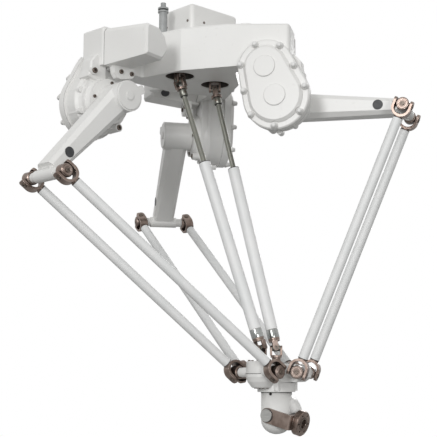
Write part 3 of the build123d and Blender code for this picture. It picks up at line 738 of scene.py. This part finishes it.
def rods():
    """The white tubes, with the caps of the fork pins and the plates on the block ends."""
    for unit in UNITS:
        for side, number in ((1, 1), (-1, 2)):
            high, low, across = rod_ends(unit, side)
            line = (low - high).normalized()
            pin = line.cross(across).normalized()
            mark = "%s%d" % (unit, number)
            rod = "rod_" + mark
            top = frame_at(high, line, pin)
            tube = lathe("tube_" + mark,
                         tube_profile(ROD_RADIUS, ROD_BORE, ROD_END, ROD_LENGTH - ROD_END),
                         [top], "rod_shell", rod, FINE)
            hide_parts(rod)
            caps = [frame_at(spot + pin * (way * PIN_REACH * MM), pin * way, line)
                    for spot in (high, low) for way in (1, -1)]
            set_parts("pin_caps_" + mark, "pin_cap", caps, "dark_screw", rod)
            # painted shade: a dark ring where each tube meets its fork
            lathe("tube_rings_" + mark, ((14.0, 44.6), (15.8, 44.6), (15.8, 46.3), (14.0, 46.3)),
                  [top, frame_at(low, -line, pin)], "dark_rubber", rod)
            for spot, kind in ((high, "up"), (low, "low")):
                body = rod if unit == "b" else "block_%s_%s" % (kind, mark)
                end = frame_at(spot + across * (side * PLATE_REACH * MM), across * side, line)
                lathe("end_plate_%s_%s" % (kind, mark),
                      ((0.0, 0.0), (16.5, 0.0), (16.5, 1.2), (15.5, 2.0), (11.0, 2.0),
                       (10.2, 1.0), (0.0, 1.0)), [end], "bronze", body)
                set_parts("end_screw_%s_%s" % (kind, mark), "end_cap", [moved(end, z=0.9)],
                          "dark_screw", body)


# Drive shafts

SLIDE_RADIUS = 19.5
SLIDE_BORE = 13.5
SLIDE_START = 292.0     # from the upper joint to the mouth of the outer tube
SLIDE_FOOT = 62.0       # from the lower joint to the foot of the outer tube
YOKE_REACH = 19.9


def shaft_trim():
    """Each shaft's outer tube, and the turned rings and small screws at both of its ends."""
    for index in (1, 2):
        high = spot_of("drive_%d_up_turn" % index)
        low = spot_of("drive_%d_low_turn" % index)
        side = way_of("drive_%d_up_swing" % index)
        line = (low - high).normalized()
        top = frame_at(high, line, side)
        bottom = frame_at(low, -line, side)
        tube = "drive_tube_%d" % index
        inner = "drive_inner_%d" % index
        reach = (low - high).length / MM
        shell = lathe("slide_tube_%d" % index,
                      tube_profile(SLIDE_RADIUS, SLIDE_BORE, SLIDE_START, reach - SLIDE_FOOT),
                      [top], "rod_shell", tube, FINE)
        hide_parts(tube)
        lathe("ferrule_%d" % index,
              ((18.0, 33.0), (19.3, 33.0), (19.6, 34.0), (19.6, 44.0), (19.2, 44.6),
               (19.6, 45.2), (19.6, 60.5), (19.3, 61.5), (18.0, 61.5)),
              [bottom], "polished_steel", tube, FINE)
        # The wiper's bore is wide because the inner shaft strays sideways as the arms move.
        lathe("wiper_%d" % index,
              ((12.0, 289.5), (17.5, 289.5), (19.3, 290.8), (19.3, 292.2), (12.0, 292.2)),
              [top], "dark_rubber", tube, FINE)
        lathe("shaft_sleeve_%d" % index,
              ((11.0, 31.0), (13.2, 31.0), (13.6, 32.0), (13.6, 52.0), (13.0, 53.0),
               (9.2, 53.0), (9.2, 49.0)), [top], "shaft_steel", inner)
        lathe("shaft_seal_%d" % index, ((9.0, 53.0), (12.0, 53.0), (12.0, 55.0), (9.0, 55.0)),
              [top], "dark_rubber", inner)
        grubs = [moved(moved(top @ Matrix.Rotation(radians(angle), 4, "Z"), z=42.0)
                       @ Matrix.Rotation(radians(90.0), 4, "Y"), z=13.2)
                 for angle in (20.0, 200.0)]
        set_parts("sleeve_grubs_%d" % index, "grub", grubs, "dark_screw", inner)
        for spot, kind, body in ((high, "up", inner), (low, "low", tube)):
            pin = way_of("drive_%d_%s_swing" % (index, kind))
            caps = [frame_at(spot + pin * (way * YOKE_REACH * MM), pin * way, line)
                    for way in (1, -1)]
            set_parts("yoke_caps_%s_%d" % (kind, index), "grub", caps, "dark_screw", body)


# Platform, wrist and tool flange

POD_RADIUS = 68.0             # from the platform's centre to its pod
BOWL_RADIUS = (49.6, 45.4)    # of the wrist's rounded foot, across and down
BOWL_LEVEL = -150.0


def platform_trim():
    """Seals round the platform's collar, hub and pod, and the screws under the pod."""
    place = Matrix.Translation(platform_centre)
    lathe("collar_seal", ((48.0, -63.6), (50.2, -63.6), (50.2, -61.9), (48.0, -61.9)), [place],
          "dark_rubber", "platform", FINE)
    lathe("hub_seal", ((42.0, 30.6), (44.3, 30.0), (44.3, 28.6), (42.0, 28.6)), [place],
          "dark_rubber", "platform", FINE)
    pod = (place @ Matrix.Rotation(azimuth_of["a"], 4, "Z")
           @ Matrix.Translation((POD_RADIUS * MM, 0.0, 0.0)))
    lathe("pod_seal", ((47.0, -4.9), (50.4, -5.2), (50.4, -3.9), (47.0, -3.5)), [pod],
          "dark_rubber", "platform", FINE)
    under = []
    for angle in range(0, 360, 60):
        spot = moved(pod @ Matrix.Rotation(radians(angle), 4, "Z"), x=20.0, z=-49.0)
        under.append(frame_at(spot.translation, (0.0, 0.0, -1.0), (1.0, 0.0, 0.0)))
    set_parts("pod_screws_below", "small_screw", under, "dark_screw", "platform")


def wrist_shell():
    """The wrist casting with its foot rounded into a bowl."""
    source = bpy.data.meshes.new_from_object(nodes["wrist_body"])
    made = bmesh.new()
    made.from_mesh(source)
    bmesh.ops.remove_doubles(made, verts=made.verts, dist=1e-6)
    mesh = bpy.data.meshes.new("wrist_shell")
    made.to_mesh(mesh)
    made.free()
    shell = piece_from("wrist_shell", mesh, None)
    across, down = BOWL_RADIUS
    bowl = [(0.0, -55.0), (110.0, -55.0), (110.0, BOWL_LEVEL)]
    bowl += [(across * cos(radians(step * 7.5)), BOWL_LEVEL - down * sin(radians(step * 7.5)))
             for step in range(12)]
    bowl += [(0.0, BOWL_LEVEL - down)]
    cutter = lathe_object("wrist_bowl", bowl, [Matrix.Translation(platform_centre)], 96)
    step = shell.modifiers.new("foot", "BOOLEAN")
    step.operation = "INTERSECT"
    step.solver = "EXACT"
    step.object = cutter
    bpy.context.view_layer.update()
    ready = shell.evaluated_get(bpy.context.evaluated_depsgraph_get())
    rounded = bpy.data.meshes.new_from_object(ready)
    for old in (shell, cutter):
        bpy.data.objects.remove(old)
    rounded.materials.clear()
    piece = finish_piece(piece_from("wrist_shell", rounded, slot_of["wrist_body"]), "wrist")
    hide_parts("wrist_body")


def wrist_trim():
    """Set screws in the wrist's neck, painted near-black as the shade of their holes, and the seals of the tilt
    shaft.
    """
    grubs = []
    for azimuth in (-128.4, -18.0, 75.0):
        way = Vector((cos(radians(azimuth)), sin(radians(azimuth)), 0.0))
        spot = platform_centre + way * (48.9 * MM) + Vector((0.0, 0.0, -68.0 * MM))
        grubs.append(frame_at(spot, way, UPWARD))
    # painted shade: the set screws take the socket shade finish so that they read as dark holes
    set_parts("neck_grubs", "grub", grubs, "socket_shadow", "wrist")
    pin = way_of("tool_tilt")
    centre = spot_of("tool_tilt")
    seals = [frame_at(centre + pin * (way * 49.6 * MM), pin * way, UPWARD) for way in (1, -1)]
    lathe("tilt_seals", ((12.3, -0.8), (22.0, -0.8), (22.0, 0.5), (12.3, 0.5)), seals,
          "dark_rubber", "wrist")


def flange_trim():
    """The tool flange's bore lining, a dark sleeve painted as the bore's shade, its groove, and rings round the
    tilt shaft's caps.
    """
    pin = way_of("tool_tilt")
    centre = spot_of("tool_tilt")
    mount_of = {row["name"]: row for row in frame["record"]["mounts"]}
    flange = frame_at(Vector(mount_of["tool_flange_screws"]["pos_m"]),
                      Vector(mount_of["tool_flange_bore"]["axis"]), pin)
    # painted shade: the dark sleeve and lip in the bore
    lathe("flange_lining", ((15.1, -20.0), (16.0, -20.0), (16.0, 0.2), (20.5, 0.2), (21.0, 0.9),
                            (20.5, 1.4), (15.1, 1.4)), [flange], "dark_screw", "tilt", FINE)
    lathe("flange_groove", ((35.2, -0.6), (36.4, -0.6), (36.4, 0.15), (35.2, 0.15)), [flange],
          "dark_screw", "tilt", FINE)
    caps = [frame_at(centre + pin * (way * 58.6 * MM), pin * way, UPWARD) for way in (1, -1)]
    lathe("tilt_cap_rings", ((19.8, -0.4), (21.4, -0.4), (21.4, 0.8), (19.8, 0.8)), caps,
          "dark_rubber", "tilt")


for make in (gearbox_seams, hub_ring_screws, motor_cover_seams, motor_cover_plugs, recess_liners,
             box_screws, gland_rings, rods, shaft_trim, platform_trim, wrist_shell, wrist_trim,
             flange_trim, socket_floors):
    make()
for part in parts.values():
    bpy.data.objects.remove(part)


# Stage, light and camera. Lengths here are in metres.

WHITE = (1.0, 1.0, 1.0, 1.0)
FLOOR_COLOUR = (0.24, 0.24, 0.235, 1.0)
FLOOR_HALF, FLOOR_LEVEL = 60.0, -2.1
FLOOR_FADE = (2.2, 6.0, 0.86, 1.0)     # white from 86 percent at 2.2 m out to all of it at 6 m
FLOOR_GLOSS, WORLD_GLOSS = 0.4, 0.65   # share of white that glossy rays see
WORLD_COLOUR = (1.0, 1.0, 0.985, 1.0)
WORLD_LIGHT = 0.55
TARGET = (0.0, 0.0, -0.6)
LAMPS = (("key", (-5.2, -7.6, 1.3), 2.6, 278.0),
         ("fill", (0.2, -9.0, -1.0), 2.2, 155.0),
         ("back", (4.5, 7.6, 1.5), 2.6, 130.0))
CAMERA_SPOT = (-0.74893, -3.5295, -1.15782)
CAMERA_YAW, CAMERA_PITCH = -14.02, 7.97
CAMERA_FOCUS = 1087.62                 # focal length in pixels
CAMERA_SHIFT = (-14.49, 9.39)          # in pixels
PHOTO_SIZE = 437.0
SENSOR = 36.0


def white_share(tree, glossy):
    """1 for camera and transmission rays, the given share for glossy ones, and 0 for the light
    that falls on things."""
    path = tree.nodes.new("ShaderNodeLightPath")
    part, seen, both = (tree.nodes.new("ShaderNodeMath") for _ in range(3))
    part.operation = "MULTIPLY"
    part.inputs[1].default_value = glossy
    seen.operation = both.operation = "MAXIMUM"
    tree.links.new(path.outputs["Is Glossy Ray"], part.inputs[0])
    tree.links.new(path.outputs["Is Camera Ray"], seen.inputs[0])
    tree.links.new(part.outputs[0], seen.inputs[1])
    tree.links.new(seen.outputs[0], both.inputs[0])
    tree.links.new(path.outputs["Is Transmission Ray"], both.inputs[1])
    return both.outputs[0]


def floor_paint():
    """A pale floor that is seen as white: wholly so far out, and with a little of its own shade
    near the object. It is clear from below."""
    material = bpy.data.materials.new("floor_white")
    material.use_nodes = True
    tree = material.node_tree
    tree.nodes.clear()
    link = tree.links.new
    out = tree.nodes.new("ShaderNodeOutputMaterial")
    diffuse = tree.nodes.new("ShaderNodeBsdfDiffuse")
    diffuse.inputs["Color"].default_value = FLOOR_COLOUR
    glow = tree.nodes.new("ShaderNodeEmission")
    glow.inputs["Color"].default_value = WHITE
    place = tree.nodes.new("ShaderNodeTexCoord")
    reach = tree.nodes.new("ShaderNodeVectorMath")
    reach.operation = "LENGTH"
    fade = tree.nodes.new("ShaderNodeMapRange")
    fade.interpolation_type = "SMOOTHSTEP"
    for socket, value in zip(fade.inputs[1:5], FLOOR_FADE):
        socket.default_value = value
    share = tree.nodes.new("ShaderNodeMath")
    share.operation = "MULTIPLY"
    mix = tree.nodes.new("ShaderNodeMixShader")
    clear = tree.nodes.new("ShaderNodeBsdfTransparent")
    side = tree.nodes.new("ShaderNodeNewGeometry")
    last = tree.nodes.new("ShaderNodeMixShader")
    link(place.outputs["Object"], reach.inputs[0])
    link(reach.outputs["Value"], fade.inputs[0])
    link(fade.outputs[0], share.inputs[0])
    link(white_share(tree, FLOOR_GLOSS), share.inputs[1])
    link(share.outputs[0], mix.inputs[0])
    link(diffuse.outputs[0], mix.inputs[1])
    link(glow.outputs[0], mix.inputs[2])
    link(side.outputs["Backfacing"], last.inputs[0])
    link(mix.outputs[0], last.inputs[1])
    link(clear.outputs[0], last.inputs[2])
    link(last.outputs[0], out.inputs["Surface"])
    return material


def add_floor():
    size, level = FLOOR_HALF, FLOOR_LEVEL
    mesh = bpy.data.meshes.new("floor")
    mesh.from_pydata([(-size, -size, level), (size, -size, level), (size, size, level),
                      (-size, size, level)], [], [(0, 1, 2, 3)])
    floor = bpy.data.objects.new("floor", mesh)
    scene.collection.objects.link(floor)
    mesh.materials.append(floor_paint())


def set_world():
    """Soft light from all round, seen as plain white."""
    world = bpy.data.worlds.new("studio")
    scene.world = world
    world.use_nodes = True
    tree = world.node_tree
    tree.nodes.clear()
    link = tree.links.new
    out = tree.nodes.new("ShaderNodeOutputWorld")
    lit = tree.nodes.new("ShaderNodeBackground")
    lit.inputs["Color"].default_value = WORLD_COLOUR
    lit.inputs["Strength"].default_value = WORLD_LIGHT
    white = tree.nodes.new("ShaderNodeBackground")
    white.inputs["Color"].default_value = WHITE
    white.inputs["Strength"].default_value = 1.0
    mix = tree.nodes.new("ShaderNodeMixShader")
    link(white_share(tree, WORLD_GLOSS), mix.inputs[0])
    link(lit.outputs[0], mix.inputs[1])
    link(white.outputs[0], mix.inputs[2])
    link(mix.outputs[0], out.inputs["Surface"])


def add_lamp(name, spot, size, power):
    """A round soft lamp that points at the part."""
    data = bpy.data.lights.new(name, "AREA")
    data.shape = "DISK"
    data.size = size
    data.energy = power
    lamp = bpy.data.objects.new(name, data)
    lamp.location = spot
    way = Vector(TARGET) - Vector(spot)
    lamp.rotation_euler = way.to_track_quat("-Z", "Y").to_euler()
    scene.collection.objects.link(lamp)


def add_camera():
    """The photograph's camera."""
    yaw, pitch = radians(CAMERA_YAW), radians(CAMERA_PITCH)
    forward = Vector((-sin(yaw) * cos(pitch), cos(yaw) * cos(pitch), sin(pitch)))
    right = Vector((cos(yaw), sin(yaw), 0.0))
    up = right.cross(forward)
    data = bpy.data.cameras.new("camera")
    data.sensor_width = SENSOR
    data.lens = SENSOR * CAMERA_FOCUS / PHOTO_SIZE
    data.shift_x = CAMERA_SHIFT[0] / PHOTO_SIZE
    data.shift_y = CAMERA_SHIFT[1] / PHOTO_SIZE
    data.clip_start = 0.05
    data.clip_end = 200.0
    camera = bpy.data.objects.new("camera", data)
    turn = Matrix((right, up, -forward)).transposed()
    camera.matrix_world = Matrix.Translation(Vector(CAMERA_SPOT)) @ turn.to_4x4()
    scene.collection.objects.link(camera)
    scene.camera = camera


add_floor()
set_world()
for lamp_row in LAMPS:
    add_lamp(*lamp_row)
add_camera()
scene.view_settings.view_transform = "Standard"
